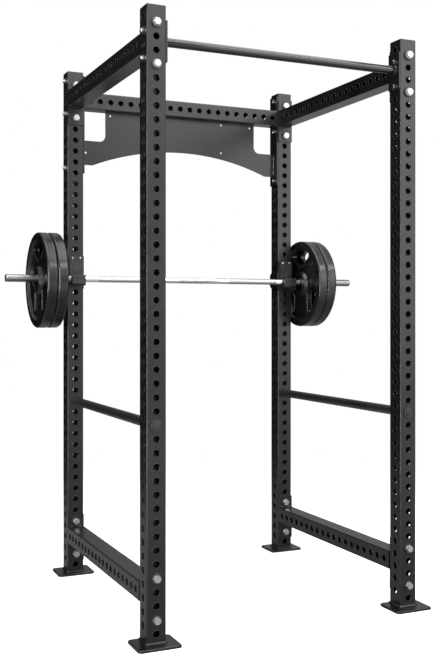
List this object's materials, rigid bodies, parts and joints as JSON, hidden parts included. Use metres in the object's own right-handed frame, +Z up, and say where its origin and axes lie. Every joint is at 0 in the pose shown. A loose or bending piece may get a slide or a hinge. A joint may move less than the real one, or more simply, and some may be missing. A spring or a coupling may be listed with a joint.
{
  "type": "power cage",
  "caption": "Free-standing square-tube power cage with drilled uprights, pull-up bar, arched rear panel, J-cups, pin-and-pipe safeties and a racked loaded barbell.",
  "frame": {"origin": "on the floor, at the middle of the overall footprint; the middle of the four uprights is 28.6 mm in front of it and 14 mm to its left", "axes": "+X to the right seen from the front (the open side with the pull-up bar), +Y to the back (the arched panel), +Z up"},
  "size_m": [1.774, 1.2912, 2.309],
  "materials": {
    "powder_coat": "satin black powder coat",
    "end_cap_plastic": "matt black moulded plastic",
    "bushing_plastic": "matt black nylon",
    "zinc_steel": "bright zinc-plated steel",
    "safety_steel": "black oxide steel, semi-gloss",
    "gloss_black_steel": "gloss black enamel",
    "liner_plastic": "black UHMW polyethylene",
    "bar_chrome": "hard chrome, polished",
    "bronze": "sintered bronze",
    "plate_rubber": "moulded rubber, satin sheen",
    "ring_steel": "machined stainless steel",
    "cap_steel": "turned steel"
  },
  "bodies": {
    "frame": {"upright_front_left": "powder_coat", "foot_plate_front_left": "powder_coat", "upright_front_right": "powder_coat", "foot_plate_front_right": "powder_coat", "upright_rear_left": "powder_coat", "foot_plate_rear_left": "powder_coat", "upright_rear_right": "powder_coat", "foot_plate_rear_right": "powder_coat", "end_caps": "end_cap_plastic", "side_beam_top_left": "powder_coat", "beam_flanges_top_left": "powder_coat", "side_beam_top_right": "powder_coat", "beam_flanges_top_right": "powder_coat", "side_beam_bottom_left": "powder_coat", "beam_flanges_bottom_left": "powder_coat", "side_beam_bottom_right": "powder_coat", "beam_flanges_bottom_right": "powder_coat", "side_beam_bolts": "zinc_steel", "side_beam_nuts": "zinc_steel", "side_beam_washers": "zinc_steel", "side_beam_bushing_rings": "bushing_plastic", "rear_crossmember": "powder_coat", "rear_arch_panel": "powder_coat", "rear_end_plate_left": "powder_coat", "rear_end_plate_right": "powder_coat", "pull_up_bar": "gloss_black_steel", "pull_up_bracket_left": "powder_coat", "pull_up_bracket_right": "powder_coat", "cross_bolts": "zinc_steel", "cross_nuts": "zinc_steel", "cross_washers": "safety_steel"},
    "j_cup_left": {"j_cup_body_left": "powder_coat", "j_cup_back_pad_left": "liner_plastic", "j_cup_saddle_left": "liner_plastic", "j_cup_screws_left": "zinc_steel"},
    "safety_pipe_left": {"safety_pipe_left": "safety_steel"},
    "safety_pin_left": {"safety_pin_left": "safety_steel"},
    "j_cup_right": {"j_cup_body_right": "powder_coat", "j_cup_back_pad_right": "liner_plastic", "j_cup_saddle_right": "liner_plastic", "j_cup_screws_right": "zinc_steel"},
    "safety_pipe_right": {"safety_pipe_right": "safety_steel"},
    "safety_pin_right": {"safety_pin_right": "safety_steel"},
    "bar": {"bar_shaft": "bar_chrome"},
    "sleeve_left": {"bar_sleeve_left": "bar_chrome", "stop_collar_left": "safety_steel", "sleeve_bushings_left": "bronze", "sleeve_end_cap_left": "cap_steel"},
    "plate_inner_left": {"plate_inner_left": "plate_rubber", "plate_ring_inner_left": "ring_steel"},
    "plate_outer_left": {"plate_outer_left": "plate_rubber", "plate_ring_outer_left": "ring_steel"},
    "sleeve_right": {"bar_sleeve_right": "bar_chrome", "stop_collar_right": "safety_steel", "sleeve_bushings_right": "bronze", "sleeve_end_cap_right": "cap_steel"},
    "plate_inner_right": {"plate_inner_right": "plate_rubber", "plate_ring_inner_right": "ring_steel"},
    "plate_outer_right": {"plate_outer_right": "plate_rubber", "plate_ring_outer_right": "ring_steel"}
  },
  "joints": [
    {"name": "j_cup_left_pull", "type": "slide", "parent": "frame", "child": "j_cup_left", "axis": [0, -1, 0], "range_m": [0, 0.1]},
    {"name": "j_cup_right_pull", "type": "slide", "parent": "frame", "child": "j_cup_right", "axis": [0, -1, 0], "range_m": [0, 0.1]},
    {"name": "bar_lift", "type": "slide", "parent": "j_cup_left", "child": "bar", "axis": [0, 0, 1], "range_m": [0, 0.5]},
    {"name": "sleeve_left_turn", "type": "hinge", "parent": "bar", "child": "sleeve_left", "pos_m": [-0.74, 0.4316, 1.355], "axis": [1, 0, 0], "continuous": true},
    {"name": "plate_inner_left_slide", "type": "slide", "parent": "sleeve_left", "child": "plate_inner_left", "axis": [-1, 0, 0], "range_m": [-0.05, 0.24]},
    {"name": "plate_outer_left_slide", "type": "slide", "parent": "plate_inner_left", "child": "plate_outer_left", "axis": [-1, 0, 0], "range_m": [0, 0.19]},
    {"name": "safety_pin_left_pull", "type": "slide", "parent": "frame", "child": "safety_pin_left", "axis": [0, -1, 0], "range_m": [0, 1.16]},
    {"name": "safety_pipe_left_turn", "type": "hinge", "parent": "frame", "child": "safety_pipe_left", "pos_m": [-0.558, -0.0286, 0.795], "axis": [0, 1, 0], "continuous": true},
    {"name": "sleeve_right_turn", "type": "hinge", "parent": "bar", "child": "sleeve_right", "pos_m": [0.74, 0.4316, 1.355], "axis": [1, 0, 0], "continuous": true},
    {"name": "plate_inner_right_slide", "type": "slide", "parent": "sleeve_right", "child": "plate_inner_right", "axis": [1, 0, 0], "range_m": [0, 0.3]},
    {"name": "plate_outer_right_slide", "type": "slide", "parent": "plate_inner_right", "child": "plate_outer_right", "axis": [1, 0, 0], "range_m": [0, 0.25]},
    {"name": "safety_pin_right_pull", "type": "slide", "parent": "frame", "child": "safety_pin_right", "axis": [0, -1, 0], "range_m": [0, 1.16]},
    {"name": "safety_pipe_right_turn", "type": "hinge", "parent": "frame", "child": "safety_pipe_right", "pos_m": [0.53, -0.0286, 0.795], "axis": [0, 1, 0], "continuous": true}
  ],
  "couplings": [
    {"joint": "j_cup_right_pull", "follows": "j_cup_left_pull", "ratio": 1}
  ]
}
